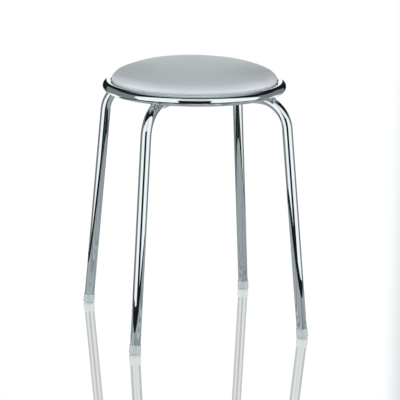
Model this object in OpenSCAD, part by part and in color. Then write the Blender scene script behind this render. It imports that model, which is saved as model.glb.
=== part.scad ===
// Round shower stool: a padded seat inside a plated tube ring, standing on two
// bent tube frames that cross under the seat, with a soft cap on each foot.
// Units are millimetres. +Z is up and the origin is on the floor under the seat's centre.

/* [Tube] */
// Outer diameter of the ring tube and the leg tubes
tube_od = 18; // [14:1:22]
// Wall thickness of the tubes
tube_wall = 1.5; // [1:0.1:2]

/* [Seat ring] */
// Outer diameter of the ring round the seat
ring_od = 320; // [300:2:340]
// Height of the ring's centre line above the floor
ring_z = 429; // [400:1:450]

/* [Leg frames] */
// Length of the straight part of a cross bar
bar_len = 251; // [230:1:262]
// Angle of a leg from the vertical, in degrees
leg_lean = 5.8403; // [3:0.0001:8]
// Centre line radius of the bend between a leg and its cross bar
bend_r = 53; // [45:1:60]
// Height of the cross bars' centre line above the floor
bar_z = 416.5; // [390:0.5:437]

/* [Seat] */
// Height of the cushion's crown above the floor
crown_z = 472; // [462:1:482]
// Widest diameter of the cushion, just above the ring
cushion_d = 289.8; // [288:0.2:290]
// Height at which the cushion is widest
cushion_wide_z = 443; // [441:0.5:446]
// Radius of the cushion's upper edge
shoulder_r = 16; // [12:1:20]
// Thickness of the seat cover
cover_t = 1; // [0.8:0.1:1.2]
// Diameter of the seat board
board_d = 279; // [277:0.5:279]
// Thickness of the seat board
board_t = 12; // [10:1:12]
// Inner diameter of the cover's margin under the board
margin_d = 214; // [210:2:224]

/* [Seat fixings] */
// Distance from the centre to each seat screw
screw_r = 60; // [50:1:70]
// Nominal diameter of the seat screws
screw_d = 6; // [5:1:6]
// Length of the seat screws under the head
screw_len = 30; // [25:5:30]
// Number of staples that hold the cover's margin
staple_count = 24; // [16:8:24]

/* [Foot caps] */
// Outer diameter at the cap's upper rim
cap_top_d = 19.6; // [19.2:0.1:21]
// Outer diameter where the cap is widest, near the floor
cap_wide_d = 21; // [20:0.1:23]
// Height of the cap along the leg
cap_h = 17; // [14:0.5:22]

/* [Hidden] */
$fn = 96;
gap = 0.05;
tube_r = tube_od / 2;
bore_r = tube_r - tube_wall;
ring_r = ring_od / 2 - tube_r;
bend_x = bar_len / 2;
bend_z = bar_z - bend_r;
leg_top_z = bend_z + bend_r * sin(leg_lean);
foot_r = bend_x + bend_r * cos(leg_lean) + leg_top_z * tan(leg_lean);
leg_start = 4;
leg_len = leg_top_z / cos(leg_lean) - leg_start;
press_w = tube_r + 0.6;
press_run = 4.4;
seat_z = bar_z + tube_r + 0.2;
board_z = seat_z + cover_t + gap;
board_top = board_z + board_t;
board_r = board_d / 2;
cover_r = board_r + cover_t + 0.5;
nut_flange_r = 9.5;
nut_flange_t = 1.5;
nut_barrel_r = 4;
nut_len = 9;
head_r = 6;
head_h = 3.6;
washer_z = bar_z - tube_r - 1.6;
washer_r = 7;
staple_r = 122;
staple_crown = 10;
staple_w = 1.2;
staple_t = 0.6;
staple_leg = 8;
bead_ring_r = 5.4;
bead_r = 1.6;
// The cushion's side below its widest line is an arc down to the straight skirt
side_drop = 12;
side_in = cushion_d / 2 - cover_r;
side_r = (side_drop * side_drop + side_in * side_in) / (2 * side_in);
// The crown is a flat arc that meets the upper edge's arc smoothly
half = cushion_d / 2;
rise = crown_z - cushion_wide_z;
crown_r = (half * half + rise * rise - 2 * half * shoulder_r) / (2 * (rise - shoulder_r));
edge_angle = atan((crown_r - rise) / (half - shoulder_r));
back_right = 45;
back_left = 135;
front_left = 225;
front_right = 315;
chrome = [0.82, 0.83, 0.84];
weld_grey = [0.7, 0.71, 0.72];
vinyl = [0.7, 0.72, 0.73];
foam_buff = [0.93, 0.88, 0.72];
plywood = [0.78, 0.62, 0.42];
zinc = [0.68, 0.7, 0.71];
cap_grey = [0.7, 0.76, 0.75];

// A full ring of round bar about the seat's axis
module ring_bar(r) {
    translate([0, 0, ring_z])
        rotate_extrude()
            translate([ring_r, 0])
                circle(r = r);
}

// One leg and its bend, as solid bar of radius r, in the XZ plane
module leg_bar(r, tail) {
    translate([bend_x, 0, bend_z]) {
        rotate([0, -leg_lean, 0])
            translate([bend_r, 0, -leg_len - tail])
                cylinder(h = leg_len + tail, r = r);
        rotate([-90, 0, 0])
            rotate([0, 0, -90])
                rotate_extrude(angle = 90 - leg_lean)
                    translate([bend_r, 0])
                        circle(r = r);
    }
}

// Both legs and the cross bar between them, as solid bar of radius r
module frame_bar(r, tail) {
    leg_bar(r, tail);
    rotate([0, 0, 180])
        leg_bar(r, tail);
    translate([-bend_x, 0, bar_z])
        rotate([0, 90, 0])
            cylinder(h = bar_len, r = r);
}

// The space a press takes out of one side of a cross bar where the frames cross
module press_space(grow, side) {
    grow_x = grow * norm([press_run, tube_r]) / tube_r;
    foot_x = press_w + grow_x - grow * press_run / tube_r;
    top_x = press_w + 2 * press_run + grow_x;
    top_z = 2 * tube_r;
    translate([0, 0, bar_z])
        scale([1, 1, side])
            rotate([90, 0, 0])
                linear_extrude(height = 4 * tube_r, center = true)
                    polygon([
                        [-foot_x, gap / 2 - grow],
                        [foot_x, gap / 2 - grow],
                        [top_x, top_z],
                        [-top_x, top_z]
                    ]);
}

// The outside of one leg frame, pressed to half its height in the middle
module frame_outside(side) {
    difference() {
        frame_bar(tube_r, 0);
        press_space(0, side);
    }
}

module frame_inside(side) {
    difference() {
        frame_bar(bore_r, 1);
        press_space(tube_wall, side);
    }
}

module leg_frame(side) {
    difference() {
        frame_outside(side);
        frame_inside(side);
        ring_bar(tube_r + gap / 2);
        for (x = [-screw_r, screw_r])
            translate([x, 0, bar_z - tube_od])
                cylinder(h = 2 * tube_od, r = screw_d / 2 + 0.3);
    }
}

module seat_ring() {
    color(chrome)
        difference() {
            ring_bar(tube_r);
            ring_bar(bore_r);
        }
}

module leg_frame_lower() {
    color(chrome)
        rotate([0, 0, back_right])
            leg_frame(1);
}

module leg_frame_upper() {
    color(chrome)
        rotate([0, 0, back_left])
            leg_frame(-1);
}

// Beads in the grooves beside each bar where the two frames cross
module cross_weld() {
    color(weld_grey)
        rotate([0, 0, back_right])
            difference() {
                union() {
                    for (x = [-1, 1])
                        translate([x * (tube_r + 0.9), 0, bar_z + 1.5])
                            rotate([90, 0, 0])
                                cylinder(h = 13, r = 2.1, center = true);
                    for (y = [-1, 1])
                        translate([0, y * (tube_r + 0.9), bar_z - 1.5])
                            rotate([0, 90, 0])
                                cylinder(h = 13, r = 2.1, center = true);
                }
                frame_outside(1);
                rotate([0, 0, 90])
                    frame_outside(-1);
            }
}

// A round bead where a leg frame's bend carries the ring
module ring_weld(a) {
    tilt = atan((ring_r - bend_x) / (ring_z - bend_z));
    reach = (norm([ring_r - bend_x, ring_z - bend_z]) + bend_r) / 2;
    color(weld_grey)
        rotate([0, 0, a])
            difference() {
                translate([bend_x, 0, bend_z])
                    rotate([0, tilt, 0])
                        translate([0, 0, reach])
                            rotate_extrude()
                                translate([bead_ring_r, 0])
                                    circle(r = bead_r);
                ring_bar(tube_r);
                leg_bar(tube_r, 0);
            }
}

module ring_weld_front_left() {
    ring_weld(front_left);
}

module ring_weld_front_right() {
    ring_weld(front_right);
}

module ring_weld_back_left() {
    ring_weld(back_left);
}

module ring_weld_back_right() {
    ring_weld(back_right);
}

function arc(cx, cz, r, from, to, steps) = [
    for (i = [0:steps])
        let (t = from + (to - from) * i / steps)
            [cx + r * cos(t), cz + r * sin(t)]
];

// Points up the cushion's side and over to its crown, moved inwards by inset
function cushion_line(inset) = concat(
    arc(half - side_r, cushion_wide_z, side_r - inset, -asin(side_drop / side_r), 0, 8),
    arc(half - shoulder_r, cushion_wide_z, shoulder_r - inset, 3, edge_angle, 12),
    arc(0, crown_z - crown_r, crown_r - inset, edge_angle + (90 - edge_angle) / 14, 90, 13)
);

function reversed(line) = [for (i = [len(line) - 1:-1:0]) line[i]];

module seat_board() {
    color(plywood)
        difference() {
            translate([0, 0, board_z])
                cylinder(h = board_t, r = board_r);
            for (a = [back_right, back_left, front_left, front_right])
                rotate([0, 0, a])
                    translate([screw_r, 0, 0]) {
                        translate([0, 0, board_z - 1])
                            cylinder(h = board_t, r = screw_d / 2 + 0.3);
                        translate([0, 0, board_top - nut_flange_t - nut_len - 2 * gap])
                            cylinder(h = board_t, r = nut_barrel_r + gap);
                        translate([0, 0, board_top - nut_flange_t - 2 * gap])
                            cylinder(h = board_t, r = nut_flange_r + gap);
                    }
            staples(gap);
        }
}

module foam_pad() {
    line = cushion_line(cover_t + gap);
    color(foam_buff)
        difference() {
            rotate_extrude()
                polygon(concat([[0, board_top - 4]], [for (p = line) if (p[1] > board_top - 4) p]));
            translate([0, 0, board_top - 20])
                cylinder(h = 20 + gap, r = board_r + gap);
        }
}

module seat_cover() {
    line = concat(
        arc(cover_r - cover_t, seat_z + cover_t, cover_t, -90, 0, 6),
        cushion_line(0)
    );
    lining = concat(
        [[cover_r - cover_t, board_z - gap]],
        cushion_line(cover_t)
    );
    color(vinyl)
        difference() {
            rotate_extrude()
                polygon(concat(
                    [[margin_d / 2, seat_z]],
                    line,
                    reversed(lining),
                    [[margin_d / 2, board_z - gap]]
                ));
            staples(gap);
        }
}

// Wire staples with their crowns on the cover's margin and their legs up in the board
module staples(grow) {
    for (i = [0:staple_count - 1])
        rotate([0, 0, (i + 0.5) * 360 / staple_count])
            translate([staple_r, 0, seat_z]) {
                translate([-staple_w / 2 - grow, -staple_crown / 2 - grow, -staple_t])
                    cube([staple_w + 2 * grow, staple_crown + 2 * grow, staple_t]);
                for (y = [-staple_crown / 2, staple_crown / 2 - staple_t])
                    translate([-staple_w / 2 - grow, y - grow, -staple_t])
                        cube([staple_w + 2 * grow, staple_t + 2 * grow, staple_leg + 2 * grow]);
            }
}

module cover_staples() {
    color(zinc)
        staples(0);
}

module seat_screw(a) {
    color(zinc)
        rotate([0, 0, a])
            translate([screw_r, 0, washer_z]) {
                cylinder(h = screw_len, r = screw_d / 2);
                difference() {
                    translate([0, 0, -head_h])
                        cylinder(h = head_h, r1 = head_r - 1.4, r2 = head_r);
                    for (turn = [0, 90])
                        rotate([0, 0, turn])
                            translate([-3, -0.6, -head_h - 1])
                                cube([6, 1.2, 3]);
                }
            }
}

module seat_screw_front_left() {
    seat_screw(front_left);
}

module seat_screw_front_right() {
    seat_screw(front_right);
}

module seat_screw_back_left() {
    seat_screw(back_left);
}

module seat_screw_back_right() {
    seat_screw(back_right);
}

// A washer whose upper face follows the underside of the tube
module saddle_washer(a) {
    color(zinc)
        rotate([0, 0, a])
            difference() {
                translate([screw_r, 0, washer_z])
                    cylinder(h = 3.1, r = washer_r);
                translate([screw_r, 0, washer_z - 1])
                    cylinder(h = 8, r = screw_d / 2 + 0.2);
                translate([0, 0, bar_z])
                    rotate([0, 90, 0])
                        cylinder(h = 2 * screw_r, r = tube_r);
            }
}

module saddle_washer_front_left() {
    saddle_washer(front_left);
}

module saddle_washer_front_right() {
    saddle_washer(front_right);
}

module saddle_washer_back_left() {
    saddle_washer(back_left);
}

module saddle_washer_back_right() {
    saddle_washer(back_right);
}

// A flanged nut let into the top of the board
module tee_nut(a) {
    color(zinc)
        rotate([0, 0, a])
            translate([screw_r, 0, board_top - gap - nut_flange_t])
                difference() {
                    union() {
                        cylinder(h = nut_flange_t, r = nut_flange_r);
                        translate([0, 0, -nut_len])
                            cylinder(h = nut_len + 0.1, r = nut_barrel_r);
                    }
                    translate([0, 0, -nut_len - 1])
                        cylinder(h = nut_len + 5, r = screw_d / 2 + gap);
                }
}

module tee_nut_front_left() {
    tee_nut(front_left);
}

module tee_nut_front_right() {
    tee_nut(front_right);
}

module tee_nut_back_left() {
    tee_nut(back_left);
}

module tee_nut_back_right() {
    tee_nut(back_right);
}

// A flared cap pushed on to the end of a leg, flat where it meets the floor
module foot_cap(a) {
    wide = cap_wide_d / 2;
    top = cap_top_d / 2;
    color(cap_grey)
        rotate([0, 0, a])
            difference() {
                translate([foot_r, 0, 0])
                    rotate([0, -leg_lean, 0])
                        rotate_extrude()
                            polygon(concat(
                                [[0, -3], [wide - 1.8, -3]],
                                arc(wide - 1.8, 3.2, 1.8, -90, 0, 6),
                                arc(top - 0.4, cap_h - 0.4, 0.4, 0, 90, 3),
                                [[0, cap_h]]
                            ));
                translate([foot_r, 0, 0])
                    rotate([0, -leg_lean, 0])
                        translate([0, 0, leg_start])
                            cylinder(h = cap_h, r = tube_r + gap);
                translate([foot_r - 20, -20, -20])
                    cube([40, 40, 20]);
            }
}

module foot_cap_front_left() {
    foot_cap(front_left);
}

module foot_cap_front_right() {
    foot_cap(front_right);
}

module foot_cap_back_left() {
    foot_cap(back_left);
}

module foot_cap_back_right() {
    foot_cap(back_right);
}

seat_ring();
leg_frame_lower();
leg_frame_upper();
cross_weld();
ring_weld_front_left();
ring_weld_front_right();
ring_weld_back_left();
ring_weld_back_right();
seat_board();
foam_pad();
seat_cover();
cover_staples();
seat_screw_front_left();
seat_screw_front_right();
seat_screw_back_left();
seat_screw_back_right();
saddle_washer_front_left();
saddle_washer_front_right();
saddle_washer_back_left();
saddle_washer_back_right();
tee_nut_front_left();
tee_nut_front_right();
tee_nut_back_left();
tee_nut_back_right();
foot_cap_front_left();
foot_cap_front_right();
foot_cap_back_left();
foot_cap_back_right();
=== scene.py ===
import math

import bmesh
import bpy
import numpy as np
from mathutils import Matrix, Vector, noise


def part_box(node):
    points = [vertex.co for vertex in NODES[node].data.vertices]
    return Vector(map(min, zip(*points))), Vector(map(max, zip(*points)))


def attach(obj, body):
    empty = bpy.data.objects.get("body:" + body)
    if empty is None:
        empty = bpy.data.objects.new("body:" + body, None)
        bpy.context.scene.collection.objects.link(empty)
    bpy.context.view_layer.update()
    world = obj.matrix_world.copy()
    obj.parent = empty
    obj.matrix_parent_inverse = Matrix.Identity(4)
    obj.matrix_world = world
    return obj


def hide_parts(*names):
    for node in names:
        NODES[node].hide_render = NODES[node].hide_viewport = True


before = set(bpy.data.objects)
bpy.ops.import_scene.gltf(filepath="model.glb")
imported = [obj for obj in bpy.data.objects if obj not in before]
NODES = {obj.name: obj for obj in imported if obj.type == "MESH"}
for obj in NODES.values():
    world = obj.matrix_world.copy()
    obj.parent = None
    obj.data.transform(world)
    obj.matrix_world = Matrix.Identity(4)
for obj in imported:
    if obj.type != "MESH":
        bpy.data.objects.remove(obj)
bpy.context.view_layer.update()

SCENE = bpy.context.scene
CORNERS = ("front_left", "front_right", "back_left", "back_right")


# ---------------------------------------------------------------- camera

CAMERA_DISTANCE = 2.926
CAMERA_HEIGHT = 0.9637
CAMERA_AZIMUTH = math.radians(-18.35)
CAMERA_PITCH = 0.24823
CAMERA_YAW = 0.0040
CAMERA_ROLL = 0.0100
CAMERA_LENS = 153.09
SENSOR_WIDTH = 36
VIEW_REACH = 50


def make_camera():
    """A long lens from in front, a little to the left, looking down by 14 degrees."""
    turn = Matrix.Rotation(CAMERA_AZIMUTH, 3, "Z")
    place = turn @ Vector((0, -CAMERA_DISTANCE, CAMERA_HEIGHT))
    ahead = turn @ Vector(
        (
            math.sin(CAMERA_YAW) * math.cos(CAMERA_PITCH),
            math.cos(CAMERA_YAW) * math.cos(CAMERA_PITCH),
            -math.sin(CAMERA_PITCH),
        )
    )
    side = ahead.cross(Vector((0, 0, 1))).normalized()
    up = side.cross(ahead)
    right = math.cos(CAMERA_ROLL) * side + math.sin(CAMERA_ROLL) * up
    above = math.cos(CAMERA_ROLL) * up - math.sin(CAMERA_ROLL) * side
    data = bpy.data.cameras.new("view_camera")
    data.sensor_fit = "HORIZONTAL"
    data.sensor_width = SENSOR_WIDTH
    data.lens = CAMERA_LENS
    data.clip_end = VIEW_REACH
    camera = bpy.data.objects.new("view_camera", data)
    SCENE.collection.objects.link(camera)
    axes = Matrix((right, above, -ahead)).transposed().to_4x4()
    camera.matrix_world = Matrix.Translation(place) @ axes
    SCENE.camera = camera


make_camera()
SCENE.view_settings.view_transform = "Standard"


# ---------------------------------------------------------------- node helpers


class Tree:
    """Short calls for building a node tree."""

    def __init__(self, tree):
        self.tree = tree
        tree.nodes.clear()

    def add(self, kind, **values):
        """A node of that kind. Values are its properties, or its inputs by name with spaces as _."""
        node = self.tree.nodes.new("ShaderNode" + kind)
        for key, value in values.items():
            if hasattr(node, key):
                setattr(node, key, value)
            else:
                self.put(node.inputs[key.replace("_", " ")], value)
        return node

    def put(self, socket, value):
        """Links a socket to another node's output, or sets its value."""
        if isinstance(value, bpy.types.NodeSocket):
            self.tree.links.new(value, socket)
        else:
            socket.default_value = value

    def math(self, operation, *values, clamp=False):
        node = self.tree.nodes.new("ShaderNodeMath")
        node.operation = operation
        node.use_clamp = clamp
        for socket, value in zip(node.inputs, values):
            self.put(socket, value)
        return node.outputs[0]

    def band(self, value, low, high, soft):
        """1 where value is between low and high, with soft edges that wide."""
        rise = self.ramp(value, low - soft / 2, low + soft / 2)
        fall = self.ramp(value, high + soft / 2, high - soft / 2)
        return self.math("MULTIPLY", rise, fall)

    def ramp(self, value, low, high, out_low=0.0, out_high=1.0):
        """A smooth step from out_low, where value is low, to out_high, where it is high."""
        node = self.tree.nodes.new("ShaderNodeMapRange")
        node.interpolation_type = "SMOOTHSTEP"
        for name, v in (
            ("Value", value),
            ("From Min", low),
            ("From Max", high),
            ("To Min", out_low),
            ("To Max", out_high),
        ):
            self.put(node.inputs[name], v)
        return node.outputs["Result"]

    def blend(self, factor, a, b):
        """A number that goes from a to b as factor goes from 0 to 1."""
        node = self.tree.nodes.new("ShaderNodeMix")
        self.put(node.inputs["Factor"], factor)
        self.put(node.inputs[2], a)
        self.put(node.inputs[3], b)
        return node.outputs[0]

    def relief(self, shader, strength, distance, height):
        """Gives a shader a bumpy surface."""
        bump = self.add("Bump", Strength=strength, Distance=distance, Height=height)
        self.put(shader.inputs["Normal"], bump.outputs[0])

    def output(self, kind, shader):
        out = self.add("Output" + kind)
        self.put(out.inputs[0], shader.outputs[0])

    def mix(self, factor, a, b):
        """A colour that goes from a to b as factor goes from 0 to 1."""
        node = self.tree.nodes.new("ShaderNodeMix")
        node.data_type = "RGBA"
        self.put(node.inputs["Factor"], factor)
        self.put(node.inputs[6], a)
        self.put(node.inputs[7], b)
        return node.outputs[2]


# ---------------------------------------------------------------- studio

STUDIO_TINT = (0.955, 1.0, 1.015, 1)
BLACK = 0.012
WALL = 0.22
CEILING_FRONT, CEILING_BACK = 0.17, 0.40
PANEL = 1.05
FRONT_PANEL = 0.80
BACKGROUND = 1.08
SOFT_EDGE = 3.0
CRISP_EDGE = (-2, 2)
# Where the studio's parts start and end, in degrees. A turn is an azimuth from the camera's side,
# positive to its right, and a rise is a height over the horizon
WALL_TURN, WALL_TOP = (128, 152), (28, 18)
RIGHT_HALF = (-10, 10)
RIGHT_TURN, RIGHT_DROP = (40, 90), (0, -6)
CEILING_TURN, CEILING_EDGE = (60, 175), (69, 34)
CEILING_FADE = (-3, 14)
CEILING_SIDES = (50, 100)
LEFT_GAP_RISE, LEFT_GAP_TURN = (-4, 18), (139, 147)
RIGHT_GAP_RISE, RIGHT_GAP_TURN = (-4, 20), (150, 137)
GAP_RISE = (-12, 34)
BACK_FLOOR_TURN, BACK_FLOOR_RISE = (120, 128), (-17, -27)
BACKDROP_TURN, BACKDROP_RISE = (171.5, 173.5), (-16, 48)
PANEL_MIDDLE, PANEL_SIDES, PANEL_FOOT = 5.0, (86, 81), (-56, -52)
FRONT_TURN, FRONT_DARK_RISE, FRONT_PANEL_RISE = (-20, 21), (-48, 17), (17, 20)
# The slope of the ceiling's front edge, and how soft it is
EDGE_SLOPE, EDGE_FADE = 1.65, (0.03, -0.03)
# What a reflection of a reflection sees, at a ray depth over FIRST_MIRROR: the same studio, dulled
# to a mid grey
DULL_BASE, DULL_SHARE = 0.20, 0.42
FIRST_MIRROR = 2.5
# Matt surfaces are lit by three wide soft lights: in front, on the left and on the right
SOFT_FRONT, SOFT_SIDE = 4.2, 4.8
SOFT_FALL = 4.0


def studio_brightness(t, x, y, z):
    """What the plating mirrors, part by part, each laid over the ones before it."""
    azimuth = t.math("MULTIPLY", t.math("ARCTAN2", x, t.math("MULTIPLY", y, -1.0)), 180 / math.pi)
    side = t.math("ABSOLUTE", azimuth)
    rise = t.math("MULTIPLY", t.math("ARCSINE", z), 180 / math.pi)
    level = WALL

    def lay(inside, bright):
        nonlocal level
        level = t.blend(inside, level, bright)

    # Black above the grey walls, which are lower at the back and on the right
    wall_top = t.ramp(side, *WALL_TURN, *WALL_TOP)
    wall_top = t.math("ADD", wall_top, t.ramp(azimuth, *RIGHT_TURN, *RIGHT_DROP))
    lay(t.ramp(t.math("SUBTRACT", rise, wall_top), *CRISP_EDGE), BLACK)
    # A grey ceiling, brighter at the back
    ceiling_from = t.ramp(side, *CEILING_TURN, *CEILING_EDGE)
    over = t.ramp(t.math("SUBTRACT", rise, ceiling_from), *CEILING_FADE)
    lay(over, t.ramp(side, *CEILING_SIDES, CEILING_FRONT, CEILING_BACK))
    # Black gaps, and the white backdrop between them
    right = t.ramp(azimuth, *RIGHT_HALF)
    left_gap = t.ramp(rise, *LEFT_GAP_RISE, *LEFT_GAP_TURN)
    right_gap = t.ramp(rise, *RIGHT_GAP_RISE, *RIGHT_GAP_TURN)
    beside_backdrop = t.math("SUBTRACT", side, t.blend(right, left_gap, right_gap))
    beside_backdrop = t.ramp(beside_backdrop, *CRISP_EDGE)
    lay(t.math("MULTIPLY", beside_backdrop, t.band(rise, *GAP_RISE, SOFT_EDGE)), BLACK)
    back_floor = t.math("MULTIPLY", t.ramp(side, *BACK_FLOOR_TURN), t.ramp(rise, *BACK_FLOOR_RISE))
    lay(back_floor, BACKGROUND)
    at_backdrop = t.ramp(side, *BACKDROP_TURN)
    lay(t.math("MULTIPLY", at_backdrop, t.band(rise, *BACKDROP_RISE, SOFT_EDGE)), BACKGROUND)
    # White panels, under the front edge of the ceiling, which is a straight line
    under_edge = t.math("ADD", z, t.math("MULTIPLY", y, EDGE_SLOPE))
    under_edge = t.ramp(under_edge, *EDGE_FADE)
    panel_side = t.math("ABSOLUTE", t.math("SUBTRACT", azimuth, PANEL_MIDDLE))
    panels = t.math("MULTIPLY", under_edge, t.ramp(panel_side, *PANEL_SIDES))
    lay(t.math("MULTIPLY", panels, t.ramp(rise, *PANEL_FOOT)), PANEL)
    # In front of them, toward the camera, a dimmer panel over a dark patch
    front = t.band(azimuth, *FRONT_TURN, SOFT_EDGE)
    front_panel = t.math("MULTIPLY", front, under_edge)
    lay(t.math("MULTIPLY", front_panel, t.ramp(rise, *FRONT_PANEL_RISE)), FRONT_PANEL)
    lay(t.math("MULTIPLY", front, t.band(rise, *FRONT_DARK_RISE, SOFT_EDGE)), BLACK)
    return level


def make_world():
    """Four looks of one studio: for the camera, for diffuse light, and for first and later mirrors."""
    world = bpy.data.worlds.new("studio")
    SCENE.world = world
    world.use_nodes = True
    t = Tree(world.node_tree)
    where = t.add("TexCoord").outputs["Generated"]
    turned = t.add("VectorRotate", rotation_type="Z_AXIS", Vector=where, Angle=-CAMERA_AZIMUTH)
    x, y, z = t.add("SeparateXYZ", Vector=turned.outputs[0]).outputs
    path = t.add("LightPath")
    mirrored = studio_brightness(t, x, y, z)
    dull = t.math("ADD", t.math("MULTIPLY", mirrored, DULL_SHARE), DULL_BASE)
    later = t.math("GREATER_THAN", path.outputs["Ray Depth"], FIRST_MIRROR)
    level = t.blend(later, mirrored, dull)
    toward_front = t.math("POWER", t.math("MAXIMUM", t.math("MULTIPLY", y, -1.0), 0.0), SOFT_FALL)
    toward_side = t.math("POWER", t.math("ABSOLUTE", x), SOFT_FALL)
    from_sides = t.math("MULTIPLY", toward_side, SOFT_SIDE)
    soft = t.math("MULTIPLY_ADD", toward_front, SOFT_FRONT, from_sides)
    lights_matt = t.math("GREATER_THAN", path.outputs["Diffuse Depth"], 0.5)
    level = t.blend(lights_matt, level, soft)
    studio = t.add("Background", Color=STUDIO_TINT)
    t.put(studio.inputs["Strength"], level)
    plain = t.add("Background", Color=(1, 1, 1, 1), Strength=1.0)
    pick = t.add("MixShader")
    t.put(pick.inputs[0], path.outputs["Is Camera Ray"])
    t.put(pick.inputs[1], studio.outputs[0])
    t.put(pick.inputs[2], plain.outputs[0])
    t.output("World", pick)


DISC_SIDES = 96
FLOOR_RADIUS = 12
FLOOR_ROUGHNESS = 0.02
# The floor mirrors more where it is seen at a slant
FLOOR_SLANT, FLOOR_GLOSS = (0.3, 0.6), (0.08, 0.60)
STREAKS, STREAK_GLOW = 6.5, (0.60, 1.36)


def stage_disc(name, radius, height, material):
    """A flat disc that belongs to the studio, not to the object."""
    mesh = bpy.data.meshes.new(name)
    shape = bmesh.new()
    bmesh.ops.create_circle(shape, cap_ends=True, segments=DISC_SIDES, radius=radius)
    bmesh.ops.translate(shape, verts=shape.verts, vec=(0, 0, height))
    shape.to_mesh(mesh)
    shape.free()
    disc = bpy.data.objects.new(name, mesh)
    disc.data.materials.append(material)
    SCENE.collection.objects.link(disc)
    return disc


def glow(name, color):
    """An even glow with soft streaks that spread from its middle."""
    material = bpy.data.materials.new(name)
    material.use_nodes = True
    t = Tree(material.node_tree)
    way = t.add("VectorMath", operation="NORMALIZE")
    t.put(way.inputs[0], t.add("TexCoord").outputs["Object"])
    streaks = t.add("TexNoise", Vector=way.outputs[0], Scale=STREAKS, Detail=2.0)
    light = t.add("Emission", Color=color)
    t.put(light.inputs["Strength"], t.ramp(streaks.outputs[0], 0.34, 0.66, *STREAK_GLOW))
    t.output("Material", light)
    return material


def floor_material():
    """Plain white and polished, so the feet show faintly in it. It is clear from below."""
    material = bpy.data.materials.new("white_floor")
    material.use_nodes = True
    t = Tree(material.node_tree)
    plain = t.add("Emission", Color=(1, 1, 1, 1), Strength=1.0)
    mirror = t.add("BsdfGlossy", Color=(1, 1, 1, 1), Roughness=FLOOR_ROUGHNESS)
    mixed = t.add("MixShader")
    slant = t.add("LayerWeight", Blend=0.5).outputs["Facing"]
    t.put(mixed.inputs[0], t.ramp(slant, *FLOOR_SLANT, *FLOOR_GLOSS))
    t.put(mixed.inputs[1], plain.outputs[0])
    t.put(mixed.inputs[2], mirror.outputs[0])
    one_sided = t.add("MixShader")
    t.put(one_sided.inputs[0], t.add("NewGeometry").outputs["Backfacing"])
    t.put(one_sided.inputs[1], mixed.outputs[0])
    t.put(one_sided.inputs[2], t.add("BsdfTransparent").outputs[0])
    t.output("Material", one_sided)
    return material


# Two discs just under the floor are what the tubes mirror of it: a lit one, and a dark one round it.
# Each has its centre across and ahead of the camera's line, its radius, height and colour
CARDS = {
    "floor_near": (0.10, 0.06, 0.62, -0.0005, (0.345, 0.382, 0.392, 1)),
    "floor_far": (0.05, -0.20, 0.80, -0.0010, (0.010, 0.012, 0.012, 1)),
}

make_world()
floor = stage_disc("floor", FLOOR_RADIUS, 0.0, floor_material())
floor.visible_glossy = False
floor.visible_diffuse = False
floor.visible_transmission = False
for name, (across, ahead, radius, height, color) in CARDS.items():
    card = stage_disc(name, radius, height, glow(name, color))
    card.location = Matrix.Rotation(CAMERA_AZIMUTH, 3, "Z") @ Vector((across, ahead, 0))
    card.visible_camera = False
    card.visible_diffuse = False


# ---------------------------------------------------------------- materials

# Faces that meet at more than this are shaded with a sharp edge
SHARP = math.radians(35)
# The thickness of one ply of the board
PLY = 0.0027


def new_material(name):
    """A material, and its empty node tree."""
    material = bpy.data.materials.new(name)
    material.use_nodes = True
    return material, Tree(material.node_tree)


def chrome_material(name, color, roughness, bump):
    """Bright plating: almost a mirror, with faint smears and a very slight waviness."""
    material, t = new_material(name)
    where = t.add("TexCoord").outputs["Object"]
    smear = t.add("TexNoise", Vector=where, Scale=38.0, Detail=4.0, Roughness=0.55)
    wave = t.add("TexNoise", Vector=where, Scale=14.0, Detail=1.0)
    shader = t.add("BsdfPrincipled", Base_Color=color, Metallic=1.0)
    rough = t.ramp(smear.outputs[0], 0.35, 0.75, roughness * 0.6, roughness * 1.8)
    t.put(shader.inputs["Roughness"], rough)
    t.relief(shader, bump, 0.0004, wave.outputs[0])
    t.output("Material", shader)
    return material


def vinyl_material():
    """Smooth silver-grey coated fabric with a fine pebble grain."""
    material, t = new_material("silver_vinyl")
    where = t.add("TexCoord").outputs["Object"]
    cloud = t.add("TexNoise", Vector=where, Scale=14.0, Detail=4.0, Roughness=0.55)
    grain = t.add("TexVoronoi", Vector=where, Scale=1150.0)
    fine = t.add("TexNoise", Vector=where, Scale=2400.0, Detail=3.0)
    soft = t.ramp(cloud.outputs[0], 0.30, 0.72)
    color = t.mix(soft, (0.374, 0.383, 0.400, 1), (0.398, 0.408, 0.426, 1))
    shader = t.add("BsdfPrincipled", Metallic=0.0)
    t.put(shader.inputs["Base Color"], color)
    t.put(shader.inputs["Roughness"], t.ramp(cloud.outputs[0], 0.25, 0.8, 0.36, 0.46))
    shader.inputs["Coat Weight"].default_value = 0.10
    shader.inputs["Coat Roughness"].default_value = 0.28
    shader.inputs["Sheen Weight"].default_value = 0.13
    shader.inputs["Sheen Roughness"].default_value = 0.5
    height = t.math("ADD", grain.outputs[0], t.math("MULTIPLY", fine.outputs[0], 0.5))
    t.relief(shader, 0.14, 0.0003, height)
    t.output("Material", shader)
    return material


def foam_material():
    """Buff open-cell foam with fine pores."""
    material, t = new_material("foam")
    where = t.add("TexCoord").outputs["Object"]
    pores = t.add("TexVoronoi", Vector=where, Scale=700.0)
    cloud = t.add("TexNoise", Vector=where, Scale=20.0, Detail=3.0)
    # Painted shade: the colour is darkest at each pore's middle, where the bump sinks it
    color = t.mix(pores.outputs[0], (0.60, 0.49, 0.28, 1), (0.84, 0.76, 0.55, 1))
    shader = t.add("BsdfPrincipled")
    t.put(shader.inputs["Base Color"], color)
    t.put(shader.inputs["Roughness"], t.ramp(cloud.outputs[0], 0.2, 0.8, 0.86, 0.97))
    t.relief(shader, 0.6, 0.0008, pores.outputs[0])
    t.output("Material", shader)
    return material


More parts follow.
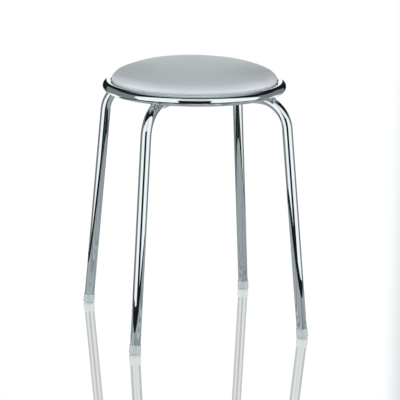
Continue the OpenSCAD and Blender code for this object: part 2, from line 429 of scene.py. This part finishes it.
def plywood_material():
    """Raw birch plywood: long grain on its faces and thin plies round its edge."""
    material, t = new_material("plywood")
    where = t.add("TexCoord").outputs["Object"]
    stretch = t.add("Mapping", Vector=where)
    stretch.inputs["Scale"].default_value = (1.0, 14.0, 14.0)
    grain = t.add("TexNoise", Vector=stretch.outputs[0], Scale=9.0, Detail=7.0, Roughness=0.6)
    fine = t.add("TexNoise", Vector=stretch.outputs[0], Scale=70.0, Detail=3.0)
    face = t.mix(grain.outputs[0], (0.72, 0.54, 0.33, 1), (0.50, 0.33, 0.17, 1))
    height = t.add("SeparateXYZ", Vector=where).outputs[2]
    plies = t.math("SINE", t.math("MULTIPLY", height, 2 * math.pi / PLY))
    edge = t.mix(t.ramp(plies, -0.3, 0.3), (0.40, 0.25, 0.13, 1), (0.70, 0.52, 0.32, 1))
    normal = t.add("SeparateXYZ", Vector=t.add("NewGeometry").outputs["Normal"]).outputs[2]
    flat = t.ramp(t.math("ABSOLUTE", normal), 0.4, 0.7)
    shader = t.add("BsdfPrincipled")
    t.put(shader.inputs["Base Color"], t.mix(flat, edge, face))
    t.put(shader.inputs["Roughness"], t.ramp(fine.outputs[0], 0.2, 0.8, 0.55, 0.75))
    t.relief(shader, 0.35, 0.0004, fine.outputs[0])
    t.output("Material", shader)
    return material


def zinc_material():
    """Zinc plate: grey metal with a faint spangle."""
    material, t = new_material("zinc")
    where = t.add("TexCoord").outputs["Object"]
    spangle = t.add("TexVoronoi", Vector=where, Scale=420.0)
    smear = t.add("TexNoise", Vector=where, Scale=160.0, Detail=4.0)
    color = t.mix(spangle.outputs[0], (0.52, 0.54, 0.55, 1), (0.66, 0.67, 0.66, 1))
    shader = t.add("BsdfPrincipled", Metallic=1.0)
    t.put(shader.inputs["Base Color"], color)
    t.put(shader.inputs["Roughness"], t.ramp(smear.outputs[0], 0.3, 0.7, 0.26, 0.45))
    t.relief(shader, 0.2, 0.0002, smear.outputs[0])
    t.output("Material", shader)
    return material


def cap_material():
    """Soft pale plastic, faintly cloudy, with painted shade in patches near the floor."""
    material, t = new_material("cloudy_plastic")
    where = t.add("TexCoord").outputs["Object"]
    cloud = t.add("TexNoise", Vector=where, Scale=170.0, Detail=3.0, Roughness=0.5)
    floor_shade_patches = t.add("TexNoise", Vector=where, Scale=900.0, Detail=4.0)
    height = t.add("SeparateXYZ", Vector=where).outputs[2]
    # Painted shade: noise patches darken the colour over the lowest 5 mm, standing in for the shade
    # low on the caps, next to the floor
    low = t.ramp(height, 0.005, 0.0)
    color = t.mix(cloud.outputs[0], (0.252, 0.272, 0.266, 1), (0.278, 0.301, 0.293, 1))
    floor_shaded_color = t.mix(t.math("MULTIPLY", low, floor_shade_patches.outputs[0]), color, (0.19, 0.21, 0.205, 1))
    shader = t.add("BsdfPrincipled")
    t.put(shader.inputs["Base Color"], floor_shaded_color)
    t.put(shader.inputs["Roughness"], t.ramp(cloud.outputs[0], 0.3, 0.7, 0.46, 0.54))
    shader.inputs["IOR"].default_value = 1.5
    t.relief(shader, 0.03, 0.0002, cloud.outputs[0])
    t.output("Material", shader)
    return material


CHROME = chrome_material("chrome", (0.85, 0.885, 0.90, 1), 0.03, 0.03)
WELD = chrome_material("chrome_weld", (0.66, 0.69, 0.70, 1), 0.12, 0.5)
VINYL = vinyl_material()
FOAM = foam_material()
PLYWOOD = plywood_material()
ZINC = zinc_material()
CAP = cap_material()

FINISHES = {
    "seat_ring": CHROME,
    "leg_frame_lower": CHROME,
    "leg_frame_upper": CHROME,
    "cross_weld": WELD,
    "seat_board": PLYWOOD,
    "cover_staples": ZINC,
}
for corner in CORNERS:
    FINISHES["ring_weld_" + corner] = WELD
    FINISHES["foot_cap_" + corner] = CAP
    for fixing in ("seat_screw_", "saddle_washer_", "tee_nut_"):
        FINISHES[fixing + corner] = ZINC


def finish_node(name, material):
    """Gives a CAD node its material, and smooth shading except over sharp edges."""
    mesh = NODES[name].data
    mesh.materials.clear()
    mesh.materials.append(material)
    for face in mesh.polygons:
        face.use_smooth = True
    mesh.set_sharp_from_angle(angle=SHARP)


for node_name, material in FINISHES.items():
    finish_node(node_name, material)


# ---------------------------------------------------------------- seat

LOW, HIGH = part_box("seat_cover")
BOARD_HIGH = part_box("seat_board")[1]
RING_LOW, RING_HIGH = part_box("seat_ring")
SEAT_R = (HIGH.x - LOW.x) / 2
COVER_T = 0.001
# The cover's outer face below the cushion's side, a little more than its thickness off the board
SKIRT_R = BOARD_HIGH.x + COVER_T + 0.0004
# The widest line is this far over the middle of the ring's tube
WIDE_Z = (RING_LOW.z + RING_HIGH.z) / 2 + 0.014
SIDE_DROP = 0.012
# The crown is this much higher than the CAD solid's
CROWN = HIGH.z - WIDE_Z + 0.0025
# 2 is an ellipse, and more has fuller sides
FULLNESS = 2.08
# The grid on top ends at this share of the way out, and rings of points go on from there
DOME_EDGE = 0.945
DOME_STEPS = 8
AROUND = 192
# The cover's margin under the board: its cut edge and that edge's wavering, its fold, and its pleats,
# whose half width is a share of their spacing
MARGIN_R, MARGIN_WAVER = 0.107, 0.0009
MARGIN_RINGS = 12
MARGIN_Z = LOW.z - 0.0001
FOLD_R = 0.0014
PLEATS, PLEAT_DEPTH, PLEAT_WIDTH = 24, 0.0011, 0.26
# The foam stays this far inside the cover, and this far over the board
FOAM_GAP, BOARD_GAP = 0.0005, 0.0003
# The foam's side ends this far over its flat bottom
FOAM_LIP = 0.0006
FOAM_RINGS = 7
# The cushion is drawn this much lower than it ends, and the cloth simulation fills it out
SWELL = 0.0045
# Below this height the cloth is held
HELD_Z = RING_HIGH.z + 0.001
PRESSURE = 4
LAST_FRAME = 20
# How many times each point's move is mixed with its neighbours' moves
EVENING = 60


def side_arc(start, end, steps):
    """Radius and height down the cushion's side, between two heights over its widest line."""
    bulge = SEAT_R - SKIRT_R
    r = (SIDE_DROP**2 + bulge**2) / (2 * bulge)
    heights = [start + (end - start) * i / steps for i in range(steps + 1)]
    return [(SEAT_R - r + math.sqrt(r * r - z * z), WIDE_Z + z) for z in heights]


def crown_height(share, crown):
    """Height over the widest line, at a share of the way out to it: an even dome with full sides."""
    return crown * (1 - min(share, 1.0) ** FULLNESS) ** (1 / FULLNESS)


def disc_point(i, j, n):
    """A point of a square grid moved into the unit disc, evenly and without a pole."""
    a, b = 2 * i / n - 1, 2 * j / n - 1
    if a == 0 and b == 0:
        return 0.0, 0.0
    if abs(a) > abs(b):
        r, turn = a, math.pi / 4 * b / a
    else:
        r, turn = b, math.pi / 2 - math.pi / 4 * a / b
    return r * math.cos(turn), r * math.sin(turn)


class Lofted:
    """A mesh made of a domed grid with rings of points below its edge."""

    def __init__(self, height, reach):
        self.shape = bmesh.new()
        n = AROUND // 4
        rows = []
        for i in range(n + 1):
            row = []
            for j in range(n + 1):
                a, b = disc_point(i, j, n)
                r = math.hypot(a, b) * reach
                row.append(self.shape.verts.new((a * reach, b * reach, height(r))))
            rows.append(row)
        self.fill(rows)
        self.ring = [rows[i][j] for i, j in self.border()]
        self.angles = [math.atan2(v.co.y, v.co.x) for v in self.ring]

    def border(self):
        """The grid places along the edge, in order round it."""
        n = AROUND // 4
        near, right = [(i, 0) for i in range(n)], [(n, j) for j in range(n)]
        return near + right + [(n - i, n) for i in range(n)] + [(0, n - j) for j in range(n)]

    def fill(self, rows):
        """Faces between rows of points."""
        for low, high in zip(rows, rows[1:]):
            for j in range(len(low) - 1):
                self.shape.faces.new([low[j], high[j], high[j + 1], low[j + 1]])

    def lower(self, place):
        """Adds a ring of points, where place gives a point's radius and height from its angle."""
        made = []
        for a in self.angles:
            r, z = place(a)
            made.append(self.shape.verts.new((r * math.cos(a), r * math.sin(a), z)))
        for k, v in enumerate(self.ring):
            m = (k + 1) % len(made)
            self.shape.faces.new([v, made[k], made[m], self.ring[m]])
        self.ring = made

    def close(self):
        """Fills the lowest ring with a flat grid."""
        n = AROUND // 4
        z, reach = self.ring[0].co.z, self.ring[0].co.xy.length
        rows = [[None] * (n + 1) for _ in range(n + 1)]
        for (i, j), v in zip(self.border(), self.ring):
            rows[i][j] = v
        for i in range(1, n):
            for j in range(1, n):
                a, b = disc_point(i, j, n)
                rows[i][j] = self.shape.verts.new((a * reach, b * reach, z))
        self.fill(rows)

    def finish(self, name, closed=False):
        """The finished object, with its faces turned outward."""
        if closed:
            self.close()
        bmesh.ops.recalc_face_normals(self.shape, faces=self.shape.faces)
        if max(self.shape.verts, key=lambda v: v.co.z).normal.z < 0:
            bmesh.ops.reverse_faces(self.shape, faces=self.shape.faces)
        mesh = bpy.data.meshes.new(name)
        self.shape.to_mesh(mesh)
        self.shape.free()
        made = bpy.data.objects.new(name, mesh)
        SCENE.collection.objects.link(made)
        return made


def cushion_top(inset):
    """The domed grid and the dome's steep edge, down to its widest line, all set in by inset."""
    crown = CROWN - SWELL - inset
    wide = SEAT_R - inset
    made = Lofted(lambda r: WIDE_Z + crown_height(r / wide, crown), DOME_EDGE * wide)
    start = math.acos(DOME_EDGE)
    for k in range(1, DOME_STEPS + 1):
        share = math.cos(start * (1 - k / DOME_STEPS))
        z = WIDE_Z + crown_height(share, crown)
        made.lower(lambda a, r=share * wide, z=z: (r, z))
    return made


def pleat(a):
    """How much of a pleat there is at angle a. Over the tubes, on the diagonals, there is none."""
    turns = a / (2 * math.pi) * PLEATS
    nearest = round(turns)
    if nearest % (PLEATS // 4) == PLEATS // 8:
        return 0.0
    off = abs(turns - nearest) / PLEAT_WIDTH
    return max(0.0, 1 - off * off)


def cover_shape():
    """The cover's outer face: over the cushion, down its side and in under the board."""
    made = cushion_top(0.0)
    for r, z in side_arc(0, -SIDE_DROP, 4)[1:]:
        made.lower(lambda a, r=r, z=z: (r, z))
    outer, fold_z = SKIRT_R - FOLD_R, MARGIN_Z + FOLD_R
    made.lower(lambda a: (SKIRT_R, (WIDE_Z - SIDE_DROP + fold_z) / 2))
    for turn in (0, 45, 90):
        across = FOLD_R * math.cos(math.radians(turn))
        down = FOLD_R * math.sin(math.radians(turn))
        made.lower(lambda a, across=across, down=down: (outer + across, fold_z - down))
    for k in range(1, MARGIN_RINGS + 1):
        share = k / MARGIN_RINGS

        def place(a, share=share):
            """A pleat is deepest near the fold and fades toward the cut edge."""
            waver = noise.noise(Vector((3 * math.cos(a), 3 * math.sin(a), 7.0)))
            cut = MARGIN_R + MARGIN_WAVER * waver
            depth = PLEAT_DEPTH * pleat(a) * math.sin(math.pi * min(1.0, share * 2.2 + 0.05) / 2)
            fade = max(0.0, 1 - share**2.2)
            return outer + (cut - outer) * share, MARGIN_Z - depth * fade

        made.lower(place)
    return made.finish("seat_cover_skin")


def foam_shape():
    """The foam under the cover, down to just over the board."""
    inset = COVER_T + FOAM_GAP
    made = cushion_top(inset)
    base = BOARD_HIGH.z + BOARD_GAP
    for r, z in side_arc(0, base + FOAM_LIP - WIDE_Z, 2)[1:]:
        made.lower(lambda a, r=r, z=z: (r - inset, z))
    edge = SKIRT_R - inset
    made.lower(lambda a: (edge, base))
    for k in range(1, FOAM_RINGS):
        r = edge * (1 - k / FOAM_RINGS)
        made.lower(lambda a, r=r: (r, base))
    return made.finish("foam_pad_cushion", closed=True)


def apply_all(item):
    """Turns the modified shape into the object's own mesh."""
    graph = bpy.context.evaluated_depsgraph_get()
    mesh = bpy.data.meshes.new_from_object(item.evaluated_get(graph))
    item.modifiers.clear()
    item.data = mesh


def simulated(item):
    """How far each point moves when the cushion is blown up as cloth, held below the ring's top.
    """
    start = [v.co.copy() for v in item.data.vertices]
    trial = item.copy()
    trial.data = item.data.copy()
    SCENE.collection.objects.link(trial)
    held = trial.vertex_groups.new(name="held")
    for v in trial.data.vertices:
        held.add([v.index], 1.0 if v.co.z < HELD_Z else 0.0, "REPLACE")
    cloth = trial.modifiers.new("swell", "CLOTH")
    cloth.settings.quality = 6
    cloth.settings.mass = 0.3
    cloth.settings.tension_stiffness = 15
    cloth.settings.compression_stiffness = 15
    cloth.settings.shear_stiffness = 5
    cloth.settings.bending_stiffness = 0.8
    cloth.settings.use_pressure = True
    cloth.settings.uniform_pressure_force = PRESSURE
    cloth.settings.vertex_group_mass = "held"
    cloth.settings.effector_weights.gravity = 0
    cloth.collision_settings.use_collision = False
    cloth.point_cache.frame_start = 1
    cloth.point_cache.frame_end = LAST_FRAME
    SCENE.frame_start, SCENE.frame_end = 1, LAST_FRAME
    for frame_number in range(1, LAST_FRAME + 1):
        SCENE.frame_set(frame_number)
    apply_all(trial)
    SCENE.frame_set(1)
    moves = [v.co - was for v, was in zip(trial.data.vertices, start)]
    bpy.data.objects.remove(trial)
    return moves


def swell(item, moves):
    """Moves the cushion's points as simulated, evened out as taut cover is, up to SWELL."""
    free = np.array([v.co.z > HELD_Z for v in item.data.vertices])[:, None]
    a, b = np.array([edge.vertices[:] for edge in item.data.edges]).T
    ends, others = np.concatenate([a, b]), np.concatenate([b, a])
    count = np.bincount(ends, minlength=len(free))[:, None]
    moves = np.where(free, np.array(moves), 0.0)
    for _ in range(EVENING):
        around = np.stack([np.bincount(ends, moves[others, k], len(free)) for k in range(3)], 1)
        moves = np.where(free, (moves + around / count) / 2, moves)
    moves *= SWELL / np.linalg.norm(moves, axis=1).max()
    for v, move in zip(item.data.vertices, moves):
        v.co += Vector(move)


def dress(item, material, slot, *stands_for):
    """Finishes a soft piece: smooths it, gives it its material, hangs it on the root body and hides
    the CAD nodes it stands for. Its slot is not used.
    """
    fine = item.modifiers.new("fine", "SUBSURF")
    fine.levels = fine.render_levels = 1
    apply_all(item)
    item.data.materials.append(material)
    for face in item.data.polygons:
        face.use_smooth = True
    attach(item, "root")
    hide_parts(*stands_for)


cover = cover_shape()
foam = foam_shape()
cover_moves = simulated(cover)
top_points = (AROUND // 4 + 1) ** 2 + DOME_STEPS * AROUND
foam_moves = cover_moves[:top_points]
foam_moves += [Vector()] * (len(foam.data.vertices) - top_points)
swell(cover, cover_moves)
swell(foam, foam_moves)
shell = cover.modifiers.new("thickness", "SOLIDIFY")
shell.thickness = COVER_T
shell.offset = -1
apply_all(cover)
dress(cover, VINYL, "vinyl", "seat_cover")
dress(foam, FOAM, "foam", "foam_pad")
